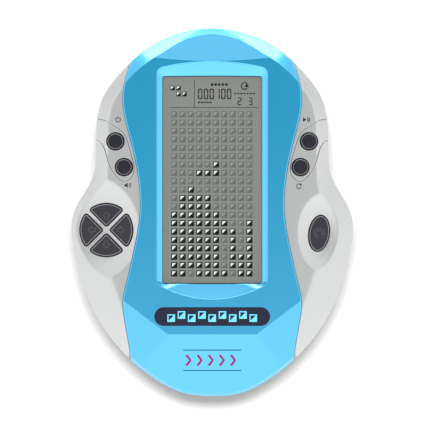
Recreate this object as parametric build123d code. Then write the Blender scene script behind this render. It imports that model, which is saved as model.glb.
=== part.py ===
from build123d import *
import math
import os

# Handheld LCD game, lying on its back: X to the right, Y up the screen, Z out of the front.
# The origin is the centre of the flat rear face. All sizes are in millimetres.

# ---- overall case -------------------------------------------------------------------------
case_width = 127.0
case_length = 165.5
rear_depth = 16.0        # rear face up to the joint line between the two shells
side_height = 24.5       # rim of the wings above the rear face
land_height = 28.0       # flat silver land of the wings
panel_height = 30.0      # blue panel, the highest face of the case
bed_height = 25.0        # floor of the recess that takes the blue fascia
ceiling_height = 23.0    # inside face of the front shell
wall = 2.2
rear_wall = 2.0
rear_round = 9.0         # rounding between the side wall and the rear face
gap = 0.15               # assembly gap between fixed mouldings
shell_joint = 0.2        # gap line between the front and the rear shell

# ---- outlines, right side from the top -------------------------------------------------------
# Each row: share of half the width, share of half the length, width of the wing's outer slope,
# width of the bright bevel round the fascia.
RIM = [
    (0.000, 1.000, 5.0, 2.7),
    (0.205, 0.979, 5.0, 3.6),
    (0.388, 0.924, 5.0, 5.4),
    (0.546, 0.840, 5.0, 5.2),
    (0.690, 0.726, 5.0, 5.0),
    (0.782, 0.616, 5.0, 5.0),
    (0.818, 0.490, 5.0, 4.0),
    (0.826, 0.360, 5.0, 4.0),
    (0.832, 0.240, 5.4, 4.0),
    (0.890, 0.128, 8.5, 4.0),
    (0.968, 0.027, 12.0, 4.0),
    (1.000, -0.085, 14.0, 4.0),
    (0.981, -0.195, 14.0, 4.0),
    (0.934, -0.360, 13.5, 4.0),
    (0.868, -0.500, 13.0, 3.0),
    (0.760, -0.645, 11.5, 2.0),
    (0.612, -0.780, 9.0, 1.4),
    (0.420, -0.900, 7.5, 1.2),
    (0.200, -0.984, 6.5, 1.2),
    (0.000, -1.000, 6.0, 1.2),
]
FASCIA_SIDE = [
    (0.540, 0.900), (0.604, 0.745), (0.630, 0.640), (0.610, 0.495), (0.565, 0.362), (0.523, 0.200),
    (0.507, 0.020), (0.550, -0.200), (0.608, -0.396), (0.629, -0.475), (0.610, -0.620),
    (0.572, -0.820), (0.560, -0.950),
]
KEY_PLATE_INNER = [
    (0.850, 0.508), (0.773, 0.501), (0.702, 0.471), (0.640, 0.438), (0.603, 0.387), (0.575, 0.316),
    (0.557, 0.256), (0.571, 0.192), (0.625, 0.170), (0.688, 0.208), (0.724, 0.251),
    (0.753, 0.327), (0.781, 0.371), (0.850, 0.404),
]

SLOPE_WIDTH = 2          # columns of RIM
BEVEL_WIDTH = 3

# ---- facets of the blue fascia ---------------------------------------------------------------
crown_height = 25.7      # foot of the bright bevel at the case's rim
forehead_share = 0.825   # crease above the screen, as a share of half the length
forehead_fall = 7.0
chin_share = -0.662
chin_corner_share = 0.313
chin_fall = 5.5
chin_side_fall = 4.4
chin_side_turn = 37.0

# ---- screen ---------------------------------------------------------------------------------
window_half_width = 22.4
window_top = 61.1
window_bottom = -32.1
window_corner = 1.2
bezel_side = 2.2         # width of the sloping bezel beside the window
bezel_top = 3.3
bezel_top_bow = 3.0
bezel_bottom_bow = 6.8
bezel_corner = 2.6
lens_thickness = 1.2
lens_recess = 2.4        # panel down to the face of the lens
lens_lap = 1.8           # lens hidden under the bezel on every side
cell_thickness = 1.8
cell_margin = 1.6
reflector_thickness = 0.25
strip_width = 3.0
holder_wall = 3.0
holder_clearance = 0.3

# ---- circuit board ---------------------------------------------------------------------------
board_top = 20.5
board_thickness = 1.6
part_gap = 0.05          # seating gap between stacked pieces

# ---- keys -----------------------------------------------------------------------------------
key_travel = 0.9
flange_top = 22.9
flange_thickness = 0.7
flange_lap = 0.6         # how far a key's flange reaches under the shell
small_key_radius = 3.55
small_key_gap = 0.5
small_key_proud = 1.2
POWER_KEY = (-0.685, 0.385)
SOUND_KEY = (-0.625, 0.245)
pad_radius = 12.15       # outer radius of the four direction keys' openings
pad_bar = 1.7            # silver bar between two direction keys
pad_corner = 1.2
pad_key_gap = 0.45
PAD_CENTRE = (-0.751, -0.097)
pad_dish = (22.5, 24.0)  # half width and half length of the scoop about the direction keys
pad_dish_shift = 8.0     # how far outside the keys' centre its lowest point lies
pad_dish_depth = 3.1
pad_tilt = 5.7           # lean of the keys' tops towards the case's side
rotate_half_width = 4.8
rotate_half_length = 8.3
rotate_lean = 8.0
rotate_gap = 0.4
ROTATE_CENTRE = (0.758, -0.115)
rotate_dish = (11.9, 17.8)
rotate_dish_shift = 2.6
rotate_dish_depth = 2.3
rotate_tilt = 5.0
dish_rise = 8.0          # half height of the ellipsoids that shape both scoops
key_proud = 1.5          # key top above the floor of its dish
plate_thickness = 2.5
plate_lip = 2.0          # thickness of the key plate where it wraps down the side
plate_shelf = 0.8        # shell wall kept behind that lip
plate_lip_drop = 2.0
plate_edge_share = 0.826 # side of the case beside the key plates
dome_radius = 2.4
small_dome_radius = 2.2

# ---- battery bay ------------------------------------------------------------------------------
cell_radius = 7.25
cell_length = 49.5
cell_nub_radius = 2.75
cell_nub_length = 1.0
cell_count = 3
cell_pitch = 15.4
cell_end_room = 4.2      # room for the contacts at each end of a cell
bay_centre_y = -18.0
bay_wall = 1.2
door_gap = 0.3
door_rim = 1.6           # ledge of the bay that the door lies against
tongue_width = 9.0
tongue_thickness = 1.0
grip_width = 14.0
rib_count = 5
contact_thickness = 0.4

# ---- speaker ----------------------------------------------------------------------------------
speaker_radius = 14.0
speaker_height = 4.6
speaker_y = 40.0
clip_thickness = 0.8
clip_reach = 4.2         # clip screws' distance outside the speaker
slot_width = 1.4
slot_pitch = 3.6
slot_count = 6

# ---- screws -----------------------------------------------------------------------------------
boss_radius = 3.4
screw_radius = 1.25
screw_head_radius = 2.6
screw_head_height = 1.8
screw_well_radius = 3.0
boss_seat = 8.0          # height of the screw heads' seats
wire_radius = 0.55
lead_reach = 3.0         # how far the battery leads stand out from the bay
lead_bend = 1.8

half_width = case_width / 2
half_length = case_length / 2
lens_top = panel_height - lens_recess
lens_bottom = lens_top - lens_thickness
cell_top = lens_bottom - 0.2
cell_bottom = cell_top - cell_thickness
lens_half_width = window_half_width + lens_lap
lens_y = (window_top + window_bottom) / 2
lens_half_length = (window_top - window_bottom) / 2 + lens_lap
glass_half_width = window_half_width + cell_margin
glass_half_length = (window_top - window_bottom) / 2 + cell_margin
holder_half_width = glass_half_width + holder_clearance + holder_wall
holder_half_length = glass_half_length + holder_clearance + holder_wall
board_bottom = board_top - board_thickness
flange_bottom = flange_top - flange_thickness
bay_half_width = cell_length / 2 + cell_end_room
bay_half_length = cell_count * cell_pitch / 2 + 0.4
bay_top = rear_wall + 2 * cell_radius + 0.8
cell_axis_z = rear_wall + 0.5 + cell_radius
bay_high_y = bay_centre_y + bay_half_length
bay_low_y = bay_centre_y - bay_half_length
plate_edge_x = plate_edge_share * half_width


def place(share):
    """A point given as shares of half the width and half the length."""
    return (share[0] * half_width, share[1] * half_length)


def mirrored(points):
    """The closed loop of rows that a right side and its mirror image make."""
    left = [(-row[0], *row[1:]) for row in reversed(points) if abs(row[0]) > 1e-6]
    return list(points) + left


def inset(points, distances):
    """Moves each point of a closed clockwise loop inwards, square to its neighbours."""
    moved = []
    for i, (x, y) in enumerate(points):
        ax, ay = points[i - 1]
        bx, by = points[(i + 1) % len(points)]
        length = math.hypot(bx - ax, by - ay)
        step = distances[i] / length
        moved.append((x + step * (by - ay), y - step * (bx - ax)))
    return moved


def smooth_loop(points):
    """Closed smooth curve through points that match the case outline's own, one for one."""
    outline = [place(row) for row in mirrored(RIM)]
    stations = [0.0]
    for i, (x, y) in enumerate(outline):
        nx, ny = outline[(i + 1) % len(outline)]
        stations.append(stations[-1] + math.hypot(nx - x, ny - y))
    spots = [Vector(x, y) for x, y in points]
    return Wire([Edge.make_spline(spots, periodic=True, parameters=stations)])


def silhouette(distance=0.0):
    """Outline of the case, moved inwards by one distance."""
    points = [place(row) for row in mirrored(RIM)]
    return smooth_loop(inset(points, [distance] * len(points)))


def inner_line(column):
    """Line inside the outline, at the widths that one column of RIM gives."""
    rows = mirrored(RIM)
    return smooth_loop(inset([place(row) for row in rows], [row[column] for row in rows]))


def prism(sketch, z0, z1):
    """Straight solid over a sketch, between two heights."""
    return extrude(Pos(0, 0, z0) * sketch, amount=z1 - z0, dir=(0, 0, 1))


def slab(wire, low, high):
    """Straight solid over a closed curve, between two heights."""
    return prism(Sketch(Face(wire).wrapped), low, high)


def block(x0, x1, y0, y1, z0, z1):
    """Rectangular solid between corner coordinates."""
    return Pos((x0 + x1) / 2, (y0 + y1) / 2, (z0 + z1) / 2) * Box(x1 - x0, y1 - y0, z1 - z0)


def rod(x, y, z0, z1, radius):
    """Upright cylinder."""
    return Pos(x, y, (z0 + z1) / 2) * Cylinder(radius, z1 - z0)


def cell_y(index):
    """Place of one battery cell's axis up the case."""
    return bay_low_y + 0.4 + (index + 0.5) * cell_pitch


def save(name, solid, colour):
    """Writes one piece to its own file."""
    solid.label = name
    solid.color = Color(*colour)
    export_step(solid, f"parts/{name}.step")


SILVER = (0.72, 0.73, 0.72)
BLUE = (0.10, 0.58, 0.80)
DARK = (0.13, 0.13, 0.14)
METAL = (0.75, 0.75, 0.76)
RUBBER = (0.70, 0.70, 0.70)
WIRE = (0.70, 0.10, 0.10)

# ---- places that several pieces share --------------------------------------------------------
power_at = place(POWER_KEY)
sound_at = place(SOUND_KEY)
pad_at = place(PAD_CENTRE)
rotate_at = place(ROTATE_CENTRE)
SMALL_KEYS = {
    "power": power_at,
    "sound": sound_at,
    "start": (-power_at[0], power_at[1]),
    "reset": (-sound_at[0], sound_at[1]),
}
upper_boss_x = holder_half_width + boss_radius + 1.2
upper_boss_y = 0.70 * half_length
lower_boss_x = bay_half_width + bay_wall + boss_radius + 1.5
lower_boss_y = -0.52 * half_length
BOSSES = [
    (-upper_boss_x, upper_boss_y), (upper_boss_x, upper_boss_y),
    (-lower_boss_x, lower_boss_y), (lower_boss_x, lower_boss_y),
    (0.0, -0.83 * half_length),
]
clip_bottom = rear_wall + part_gap + speaker_height
clip_screw_x = speaker_radius + clip_reach
CLIP_SCREWS = [(-clip_screw_x, speaker_y), (clip_screw_x, speaker_y)]


def wing_body():
    """Solid case above the joint line, with the wings' outer slopes."""
    low = slab(silhouette(), rear_depth + shell_joint, side_height)
    rim = Pos(0, 0, side_height) * silhouette()
    crease = Pos(0, 0, land_height) * inner_line(SLOPE_WIDTH)
    return low + Solid.make_loft([rim, crease], ruled=True)


def fascia_outline(grow=0.0):
    """Region of the blue fascia: the screen strip between its two waisted side lines."""
    right = [place(s) for s in FASCIA_SIDE]
    right = [(x + grow, y) for x, y in right]
    left = [(-x, y) for x, y in reversed(right)]
    beyond_y = half_length + 5
    low = Polyline(right[-1], (right[-1][0], -beyond_y), (left[0][0], -beyond_y), left[0])
    high = Polyline(left[-1], (left[-1][0], beyond_y), (right[0][0], beyond_y), right[0])
    sides = [Edge.make_spline([Vector(x, y) for x, y in line]) for line in (right, left)]
    return Sketch(Face(Wire([sides[0], *low.edges(), sides[1], *high.edges()])).wrapped)


def dish_share(depth):
    """How wide an ellipsoid is where a scoop's rim crosses it, as a share of its widest."""
    return math.sqrt(1 - (1 - depth / dish_rise) ** 2)


def dish(centre, shift, halves, depth):
    """Shallow scoop: the bowl of an ellipsoid, lowest outside its keys' centre."""
    share = dish_share(depth)
    bowl = scale(Sphere(1.0), by=(halves[0] / share, halves[1] / share, dish_rise))
    x = centre[0] + math.copysign(shift, centre[0])
    return Pos(x, centre[1], land_height - depth + dish_rise) * bowl


def dish_floor(shift, halves, depth):
    """Height of a scoop's surface at its keys' centre."""
    out = shift * dish_share(depth) / halves[0]
    return land_height - depth + dish_rise * (1 - math.sqrt(1 - out * out))


def pad_opening(angle, grow=0.0):
    """Quarter opening of one direction key about the pad's centre, grown evenly."""
    tip = pad_bar / 2 * math.sqrt(2)
    reach = 2 * pad_radius
    wedge = make_face(Polyline((0, tip), (reach, tip + reach), (-reach, tip + reach), close=True))
    quarter = Circle(pad_radius) & wedge
    quarter = fillet(quarter.vertices(), pad_corner)
    if grow:
        quarter = offset(quarter, amount=grow)
    return Pos(*pad_at) * Rot(0, 0, angle) * quarter


def rotate_opening(grow=0.0):
    """Leaning oval of the rotate key."""
    oval = Ellipse(rotate_half_width + grow, rotate_half_length + grow)
    return Pos(*rotate_at) * Rot(0, 0, -rotate_lean) * oval


def key_plate_region(side, grow=0.0):
    """Outline of a key plate, from the case's side round the two small keys and back."""
    points = [place(s) for s in KEY_PLATE_INNER]
    if grow:
        points = inset(points[::-1], [-grow] * len(points))[::-1]
    points = [(side * x, y) for x, y in points]
    edge = Edge.make_spline([Vector(x, y) for x, y in points])
    outer = side * (half_width + 5)
    close = Polyline(points[-1], (outer, points[-1][1]), (outer, points[0][1]), points[0])
    return Sketch(Face(Wire([edge] + close.edges())).wrapped)


def bezel_outline(height, side, top, top_bow, bottom_bow, corner):
    """Screen opening at one height: straight sides, bowed top and bottom."""
    x = window_half_width + side
    y0 = window_bottom
    y1 = window_top + top
    line = [
        Line((-x, y0), (-x, y1)),
        ThreePointArc((-x, y1), (0, y1 + top_bow), (x, y1)),
        Line((x, y1), (x, y0)),
        ThreePointArc((x, y0), (0, y0 - bottom_bow), (-x, y0)),
    ]
    face = make_face(Curve() + line)
    face = fillet(face.vertices(), corner)
    return (Pos(0, 0, height) * face).face().outer_wire()


def beyond(side, x):
    """Everything farther out than x on one side."""
    near, far = sorted((side * x, side * (half_width + 5)))
    return block(near, far, -half_length, half_length, 0, panel_height)


def front_shell():
    body = wing_body()
    cavity = slab(silhouette(wall), rear_depth, ceiling_height)
    lip_x = plate_edge_x - plate_lip
    for side in (-1, 1):
        near, far = sorted((side * (lip_x - plate_shelf), side * half_width))
        cavity -= block(
            near, far, 0.12 * half_length, 0.56 * half_length,
            side_height - plate_lip_drop - 1.5, ceiling_height + 1)
    body -= cavity
    body -= prism(fascia_outline(gap), bed_height, panel_height + 1)
    body -= dish(pad_at, pad_dish_shift, pad_dish, pad_dish_depth)
    body -= dish(rotate_at, rotate_dish_shift, rotate_dish, rotate_dish_depth)
    for angle in (0, 90, 180, 270):
        body -= prism(pad_opening(angle), ceiling_height - 1, panel_height)
    body -= prism(rotate_opening(), ceiling_height - 1, panel_height)
    floor = land_height - plate_thickness
    for side in (-1, 1):
        region = key_plate_region(side, gap)
        body -= prism(region, floor, panel_height)
        body -= prism(region, side_height - plate_lip_drop, panel_height) & beyond(side, lip_x)
    for x, y in SMALL_KEYS.values():
        body -= rod(x, y, ceiling_height - 1, panel_height, small_key_radius + small_key_gap)
    opening_x = holder_half_width + holder_clearance
    opening_y = holder_half_length + holder_clearance
    body -= block(
        -opening_x, opening_x, lens_y - opening_y, lens_y + opening_y,
        ceiling_height - 1, bed_height + 1,
    )
    for x, y in BOSSES:
        body += rod(x, y, rear_depth + 1.0, ceiling_height + 0.5, boss_radius)
        body -= rod(x, y, rear_depth, ceiling_height + 0.5, screw_radius)
    return body


def fascia():
    foot = bed_height + gap
    body = prism(fascia_outline(), foot, panel_height)
    crown = slab(silhouette(), foot - 1, crown_height)
    rim = Pos(0, 0, crown_height) * silhouette()
    top = Pos(0, 0, panel_height) * inner_line(BEVEL_WIDTH)
    crown += Solid.make_loft([rim, top], ruled=True)
    body &= crown
    reach = 2 * case_width
    forehead_y = forehead_share * half_length
    chin_y = chin_share * half_length
    cutter = Box(reach, reach, reach, align=(Align.CENTER, Align.MIN, Align.MIN))
    body -= Pos(0, forehead_y, panel_height) * Rot(-forehead_fall, 0, 0) * cutter
    body -= Pos(0, chin_y, panel_height) * Rot(0, 0, 180) * Rot(-chin_fall, 0, 0) * cutter
    for side in (-1, 1):
        corner = Pos(side * chin_corner_share * half_width, chin_y, panel_height)
        turn = 180 + side * chin_side_turn
        body -= corner * Rot(0, 0, turn) * Rot(-chin_side_fall, 0, 0) * cutter
    screen = Solid.make_loft([
        bezel_outline(panel_height + 0.01, bezel_side, bezel_top, bezel_top_bow,
                      bezel_bottom_bow, bezel_corner),
        bezel_outline(lens_top, 0, 0, 0.2, 0.2, window_corner),
    ], ruled=True)
    body -= screen
    rebate_x = lens_half_width + gap
    rebate_y = lens_half_length + gap
    body -= block(-rebate_x, rebate_x, lens_y - rebate_y, lens_y + rebate_y, foot - 1, lens_top)
    return body


def lens():
    height = lens_thickness
    plate = Pos(0, lens_y, lens_bottom + height / 2 - part_gap) * Box(
        2 * lens_half_width, 2 * lens_half_length, height)
    return fillet(plate.edges().filter_by(Axis.Z), 1.0)


def key_plate(side):
    body = wing_body()
    floor = land_height - plate_thickness + part_gap
    region = key_plate_region(side)
    top = body & prism(region, floor, panel_height)
    lip = prism(region, side_height - plate_lip_drop + part_gap, panel_height)
    top += body & lip & beyond(side, plate_edge_x - plate_lip + gap)
    for name, (x, y) in SMALL_KEYS.items():
        if side * x > 0:
            top -= rod(x, y, ceiling_height, panel_height, small_key_radius + small_key_gap)
    return top


def small_key(x, y):
    top = land_height + small_key_proud
    key = rod(x, y, flange_bottom, top, small_key_radius)
    key = fillet(key.edges().group_by(Axis.Z)[-1], 0.5)
    return key + rod(x, y, flange_bottom, flange_top, small_key_radius + small_key_gap + flange_lap)


def pad_key(angle):
    top = dish_floor(pad_dish_shift, pad_dish, pad_dish_depth) + key_proud
    cap = prism(pad_opening(angle, -pad_key_gap), flange_bottom, top + 3)
    slope = Pos(pad_at[0], pad_at[1], top) * Rot(0, -pad_tilt, 0)
    cap -= slope * Box(80, 80, 20, align=(Align.CENTER, Align.CENTER, Align.MIN))
    cap = fillet(cap.faces().sort_by(Axis.Z)[-1].edges(), 0.4)
    return cap + prism(pad_opening(angle, flange_lap), flange_bottom, flange_top)


def rotate_key():
    top = dish_floor(rotate_dish_shift, rotate_dish, rotate_dish_depth) + key_proud
    cap = prism(rotate_opening(-rotate_gap), flange_bottom, top + 3)
    slope = Pos(rotate_at[0], rotate_at[1], top) * Rot(0, rotate_tilt, 0)
    cap -= slope * Box(80, 80, 20, align=(Align.CENTER, Align.CENTER, Align.MIN))
    cap = fillet(cap.faces().sort_by(Axis.Z)[-1].edges(), 0.5)
    return cap + prism(rotate_opening(flange_lap), flange_bottom, flange_top)


def dome(x, y, radius):
    body = rod(x, y, board_top + part_gap, flange_bottom - part_gap, radius)
    return chamfer(body.edges().group_by(Axis.Z)[-1], 0.4)


def rear_shell():
    shape = slab(silhouette(), 0, rear_depth)
    shape = fillet(shape.edges().group_by(Axis.Z)[0], rear_round)
    cavity = slab(silhouette(wall), rear_wall, rear_depth + 1)
    cavity = fillet(cavity.edges().group_by(Axis.Z)[0], rear_round - wall)
    shape -= cavity
    outer_x = bay_half_width + bay_wall
    shape += block(
        -outer_x, outer_x, bay_low_y - bay_wall, bay_high_y + bay_wall, 0.5, bay_top + bay_wall)
    shape -= block(
        -bay_half_width, bay_half_width, bay_low_y, bay_high_y, rear_wall, bay_top)
    door_x = bay_half_width - door_rim + door_gap
    shape -= block(
        -door_x, door_x, bay_low_y + door_rim - door_gap, bay_high_y - door_rim + door_gap,
        -1, rear_wall + 0.1)
    shape -= block(
        -grip_width / 2, grip_width / 2, bay_low_y - 1.5, bay_low_y + door_rim, -1, 1.2)
    for i in range(cell_count - 1):
        y = bay_low_y + 0.4 + (i + 1) * cell_pitch
        for end in (-1, 1):
            x0, x1 = sorted((end * (bay_half_width - 6), end * (bay_half_width + 0.1)))
            shape += block(x0, x1, y - 0.35, y + 0.35, cell_axis_z + 2, bay_top + 0.1)
    for i in range(slot_count):
        y = speaker_y + (i - (slot_count - 1) / 2) * slot_pitch
        reach = math.sqrt((speaker_radius - 2) ** 2 - (y - speaker_y) ** 2)
        slot = SlotOverall(2 * reach, slot_width)
        shape -= prism(Pos(0, y) * slot, -1, rear_wall + 1)
    shape += rod(0, speaker_y, rear_wall - 0.5, rear_wall + 3, speaker_radius + 1.6) - rod(
        0, speaker_y, rear_wall - 1, rear_wall + 4, speaker_radius + gap)
    for x, y in CLIP_SCREWS:
        shape += rod(x, y, rear_wall - 0.5, clip_bottom - part_gap, 2.2)
        shape -= rod(x, y, rear_wall, clip_bottom, 0.9)
    for x, y in BOSSES:
        shape += rod(x, y, rear_wall - 0.5, rear_depth + 1.0 - part_gap, boss_radius)
    for x, y in BOSSES:
        shape -= rod(x, y, -1, boss_seat, screw_well_radius)
        shape -= rod(x, y, -1, rear_depth + 3, screw_radius + 0.3)
    return shape


def battery_door():
    half_x = bay_half_width - door_rim
    low = bay_low_y + door_rim
    high = bay_high_y - door_rim
    door = block(-half_x, half_x, low, high, 0, rear_wall)
    for side in (-1, 1):
        x = side * half_x * 0.6
        door += block(
            x - tongue_width / 2, x + tongue_width / 2, high - 3, bay_high_y - door_gap,
            rear_wall + 0.25, rear_wall + 0.25 + tongue_thickness)
        door += block(
            x - tongue_width / 2, x + tongue_width / 2, high - 3, high - 1.2,
            rear_wall - 0.2, rear_wall + 0.3)
    door += block(-grip_width / 2 + 1, grip_width / 2 - 1, low - 1.2, low + 0.5, 0.0, 1.0)
    for i in range(rib_count):
        y = low + 3.5 + i * 1.8
        door -= block(-grip_width / 2, grip_width / 2, y, y + 0.8, -1, 0.4)
    return door


def cell(index):
    y = cell_y(index)
    turn = 1 if index % 2 == 0 else -1
    can = Rot(0, 90, 0) * Cylinder(cell_radius, cell_length - cell_nub_length)
    can = fillet(can.edges().filter_by(GeomType.CIRCLE), 0.6)
    nub = Pos(cell_length / 2, 0, 0) * Rot(0, 90, 0) * Cylinder(
        cell_nub_radius, 2 * cell_nub_length)
    body = Pos(-cell_nub_length / 2, 0, 0) * can + Pos(-cell_nub_length, 0, 0) * nub
    return Pos(0, y, cell_axis_z) * Rot(0, 0, 0 if turn > 0 else 180) * body


def contact_sheet(x, y):
    return Pos(x, y, cell_axis_z) * Box(contact_thickness, cell_pitch - 3.0, 10.0)


def spring_contact(index):
    """Flat terminal with a tapering coil that presses on the cell's flat end."""
    y = cell_y(index)
    end = -1 if index % 2 == 0 else 1
    wall_x = end * (bay_half_width - part_gap - contact_thickness / 2)
    body = contact_sheet(wall_x, y)
    turns = 4
    pitch = (cell_end_room - part_gap - contact_thickness - 0.2) / turns
    for i in range(turns):
        ring = Torus(5.0 - 0.4 * i, pitch / 2 + 0.08)
        x = wall_x - end * (contact_thickness / 2 + (i + 0.5) * pitch)
        body += Pos(x, y, cell_axis_z) * Rot(0, 90, 0) * ring
    return body


def plate_contact(index):
    """Flat terminal with a raised button for the cell's nub."""
    y = cell_y(index)
    end = 1 if index % 2 == 0 else -1
    wall_x = end * (bay_half_width - part_gap - contact_thickness / 2)
    reach = cell_end_room - part_gap - contact_thickness - 0.1
    button = Rot(0, 90, 0) * Cylinder(2.4, reach)
    return contact_sheet(wall_x, y) + Pos(wall_x - end * reach / 2, y, cell_axis_z) * button


def main_board():
    half = upper_boss_x - boss_radius - 0.6
    board = block(-half, half, bay_low_y - 2, upper_boss_y + 6, board_bottom, board_top)
    wing_x = -pad_at[0] + pad_radius - 2.5
    board += block(-wing_x, wing_x, pad_at[1] - pad_radius, power_at[1] - 14, board_bottom, board_top)
    upper_x = -power_at[0] + 3.2
    board += block(-upper_x, upper_x, 0, power_at[1] + 4.0, board_bottom, board_top)
    lead_x = bay_half_width + bay_wall + lead_reach + 2
    board += block(-lead_x, lead_x, cell_y(0) - 3, 0, board_bottom, board_top)
    board &= slab(silhouette(wall + 1.0), board_bottom, board_top)
    for x, y in BOSSES:
        board -= rod(x, y, board_bottom - 1, board_top + 1, boss_radius + 0.4)
    return board


def lcd_holder():
    low = board_top + part_gap
    high = bed_height
    inner_x = glass_half_width + holder_clearance
    inner_y = glass_half_length + holder_clearance
    frame = block(
        -holder_half_width, holder_half_width, lens_y - holder_half_length,
        lens_y + holder_half_length, low, high)
    frame -= block(
        -inner_x, inner_x, lens_y - inner_y, lens_y + inner_y, cell_bottom - part_gap, high + 1)
    ledge = 1.6
    frame -= block(
        -inner_x + ledge, inner_x - ledge, lens_y - inner_y + ledge, lens_y + inner_y - ledge,
        low - 1, high + 1)
    return frame


def tube(points, radius, bend):
    """Round lead of straight runs joined by tangent arcs."""
    path = FilletPolyline(*points, radius=bend)
    start = Plane(origin=path @ 0, z_dir=path % 0)
    return sweep(start * Circle(radius), path=path)


os.makedirs("parts", exist_ok=True)

save("front_shell", front_shell(), SILVER)
save("fascia", fascia(), BLUE)
save("lens", lens(), (0.6, 0.62, 0.62))
save("rear_shell", rear_shell(), SILVER)
save("battery_door", battery_door(), SILVER)
save("key_plate_left", key_plate(-1), SILVER)
save("key_plate_right", key_plate(1), SILVER)
for name, (x, y) in SMALL_KEYS.items():
    save(f"{name}_key", small_key(x, y), DARK)
    save(f"{name}_dome", dome(x, y, small_dome_radius), RUBBER)
for name, angle in (("up", 0), ("left", 90), ("down", 180), ("right", 270)):
    save(f"{name}_key", pad_key(angle), DARK)
    reach = pad_radius * 0.58
    dome_x = pad_at[0] - reach * math.sin(math.radians(angle))
    dome_y = pad_at[1] + reach * math.cos(math.radians(angle))
    save(f"{name}_dome", dome(dome_x, dome_y, dome_radius), RUBBER)
save("rotate_key", rotate_key(), DARK)
save("rotate_dome", dome(rotate_at[0], rotate_at[1], dome_radius), RUBBER)

glass = Pos(0, lens_y, (cell_top + cell_bottom) / 2) * Box(
    2 * glass_half_width, 2 * glass_half_length, cell_thickness)
save("lcd_cell", glass, (0.5, 0.52, 0.5))
strip_x = glass_half_width - strip_width / 2 - 1.8
sheet = Pos(0, lens_y, cell_bottom - part_gap - reflector_thickness / 2) * Box(
    2 * (strip_x - strip_width / 2 - 0.3), 2 * glass_half_length - 6, reflector_thickness)
save("lcd_reflector", sheet, (0.8, 0.8, 0.8))
save("lcd_holder", lcd_holder(), DARK)
for name, side in (("left", -1), ("right", 1)):
    low = board_top + part_gap
    high = cell_bottom - part_gap
    strip = Pos(side * strip_x, lens_y, (low + high) / 2) * Box(
        strip_width, 2 * glass_half_length - 8, high - low)
    save(f"connector_strip_{name}", strip, (0.8, 0.35, 0.5))
save("main_board", main_board(), (0.12, 0.4, 0.2))
blob_height = 2.0
blob = Pos(0, lens_y, board_top + part_gap) * scale(Sphere(1.0), by=(8.0, 8.0, blob_height))
blob &= block(-9, 9, lens_y - 9, lens_y + 9, board_top + part_gap, board_top + 3)
save("chip_blob", blob, (0.05, 0.05, 0.05))
can = Pos(0, lens_y + 20, board_top + part_gap + 1.2) * Rot(0, 90, 0) * Cylinder(1.1, 6.0)
save("crystal", can, METAL)
for i in range(2):
    body = rod(-12 + 24 * i, speaker_y + 22, board_bottom - 6.0, board_bottom - part_gap, 2.5)
    save(f"capacitor_{i + 1}", body, (0.1, 0.1, 0.3))

basket = rod(0, speaker_y, rear_wall + part_gap, clip_bottom - part_gap, speaker_radius)
basket -= rod(0, speaker_y, rear_wall, rear_wall + 1.9, speaker_radius - 1.6)
save("speaker_frame", basket, METAL)
cone = rod(0, speaker_y, rear_wall + 1.2, rear_wall + 1.8, speaker_radius - 1.7)
save("speaker_cone", cone, (0.1, 0.1, 0.1))
clip = block(-clip_screw_x - 2.4, clip_screw_x + 2.4, speaker_y - 3, speaker_y + 3,
             clip_bottom, clip_bottom + clip_thickness)
for x, y in CLIP_SCREWS:
    clip -= rod(x, y, clip_bottom - 1, clip_bottom + 2, 1.3)
save("speaker_clip", clip, METAL)
for i, (x, y) in enumerate(CLIP_SCREWS):
    top = clip_bottom + clip_thickness + part_gap
    screw = rod(x, y, top, top + 1.4, 2.1) + rod(x, y, rear_wall + 0.5, top + 0.1, 0.85)
    save(f"clip_screw_{i + 1}", screw, METAL)

for i in range(cell_count):
    save(f"cell_{i + 1}", cell(i), (0.25, 0.3, 0.5))
    save(f"spring_contact_{i + 1}", spring_contact(i), METAL)
    save(f"plate_contact_{i + 1}", plate_contact(i), METAL)

for i, (x, y) in enumerate(BOSSES):
    head = rod(x, y, boss_seat - screw_head_height - part_gap, boss_seat - part_gap,
               screw_head_radius)
    shank = rod(x, y, boss_seat - 0.2, ceiling_height, screw_radius - 0.05)
    slot = Box(3.2, 0.7, 0.8)
    cross = slot + Rot(0, 0, 90) * slot
    screw = head + shank - Pos(x, y, boss_seat - screw_head_height - part_gap) * cross
    save(f"case_screw_{i + 1}", screw, METAL)

for name, side in (("a", -1), ("b", 1)):
    x = side * 5.0
    y = speaker_y - 6.0
    points = [
        (x, y, clip_bottom),
        (x, y, clip_bottom + 4.0),
        (x + side, y - 7.0, board_bottom - 4.0),
        (x + side, y - 7.0, board_bottom - part_gap),
    ]
    save(f"speaker_lead_{name}", tube(points, wire_radius, lead_bend), WIRE)

bay_side = bay_half_width + bay_wall + part_gap
for name, side, index in (("positive", 1, 0), ("negative", -1, cell_count - 1)):
    y = cell_y(index)
    points = [
        (side * bay_side, y, cell_axis_z),
        (side * (bay_side + lead_reach), y, cell_axis_z),
        (side * (bay_side + lead_reach), y, board_bottom - part_gap),
    ]
    save(f"battery_lead_{name}", tube(points, wire_radius, lead_bend), WIRE)
print("pieces", len(os.listdir("parts")))
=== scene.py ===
"""Looks of the handheld LCD game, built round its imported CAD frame.

Lengths here are millimetres; make_object turns them into the frame's metres.
"""

import math

import bpy
import numpy as np
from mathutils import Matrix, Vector
from mathutils.bvhtree import BVHTree
from mathutils.geometry import delaunay_2d_cdt


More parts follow.
